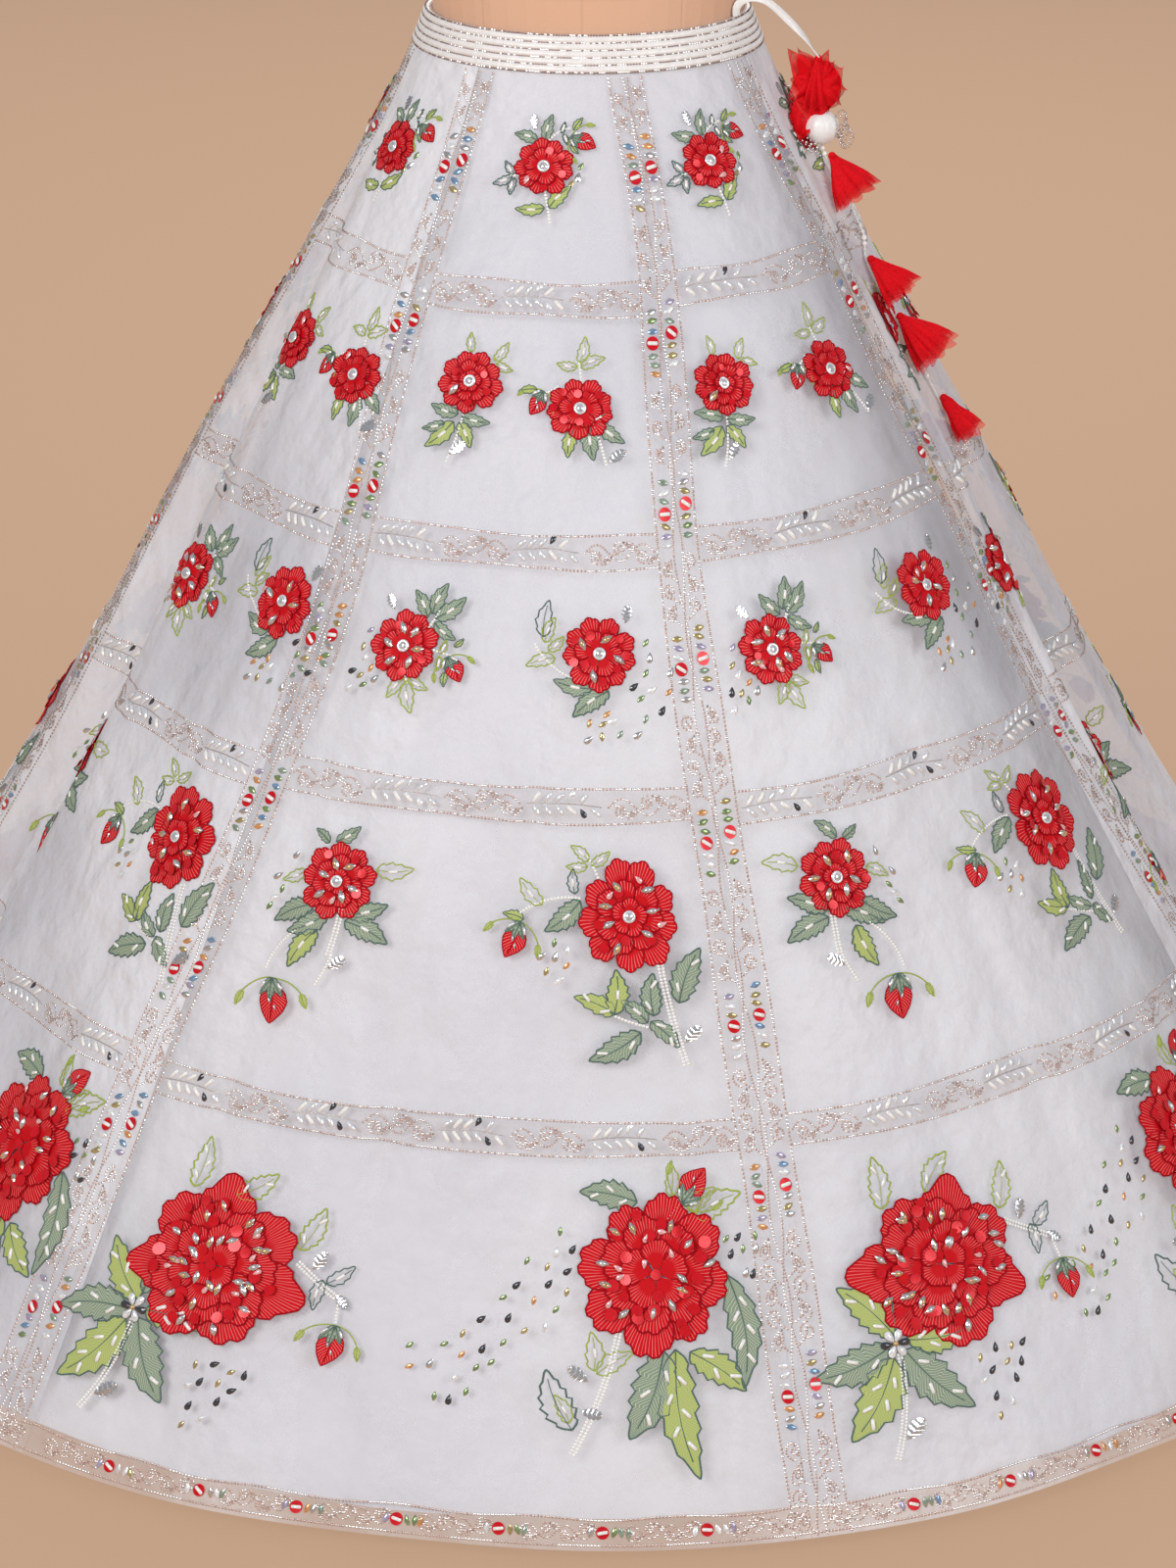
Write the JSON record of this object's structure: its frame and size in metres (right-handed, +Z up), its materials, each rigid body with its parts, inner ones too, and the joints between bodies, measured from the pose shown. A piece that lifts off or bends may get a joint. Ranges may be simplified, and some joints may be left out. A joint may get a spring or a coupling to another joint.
{
  "type": "lehenga skirt on dress form",
  "caption": "Flared embroidered organza lehenga skirt with a padded waistband, lining and red tassels, hung on a limbless dress form with a round stand.",
  "frame": {"origin": "the centre of the stand base's underside, on the floor", "axes": "+Z up; -Y is the skirt's front; +X is the side that the tasselled drawstring hangs on"},
  "size_m": [1.3831, 1.2099, 1.5003],
  "materials": {
    "organza": "sheer crisp organza",
    "lining_satin": "soft satin",
    "band_satin": "padded satin with rows of fine beads",
    "cord_satin": "satin",
    "red_organza": "crisp organza",
    "thread": "metallic and cotton embroidery",
    "sequins": "mirror gloss",
    "form_jersey": "smooth jersey",
    "form_cap": "satin paint",
    "stand_steel": "brushed"
  },
  "bodies": {
    "root": {"kali_1": "organza", "kali_2": "organza", "kali_3": "organza", "kali_4": "organza", "kali_5": "organza", "kali_6": "organza", "kali_7": "organza", "kali_8": "organza", "lining_1": "lining_satin", "lining_2": "lining_satin", "lining_3": "lining_satin", "lining_4": "lining_satin", "lining_5": "lining_satin", "lining_6": "lining_satin", "lining_7": "lining_satin", "lining_8": "lining_satin", "waistband": "band_satin", "drawstring": "cord_satin", "tassel_string": "cord_satin", "satin_ball": "cord_satin", "tassel_1": "red_organza", "tassel_2": "red_organza", "tassel_3": "red_organza", "tassel_4": "red_organza", "tassel_5": "red_organza", "dress_form_torso": "form_jersey", "form_neck_cap": "form_cap", "stand_pole": "stand_steel", "stand_base": "stand_steel"}
  },
  "joints": []
}
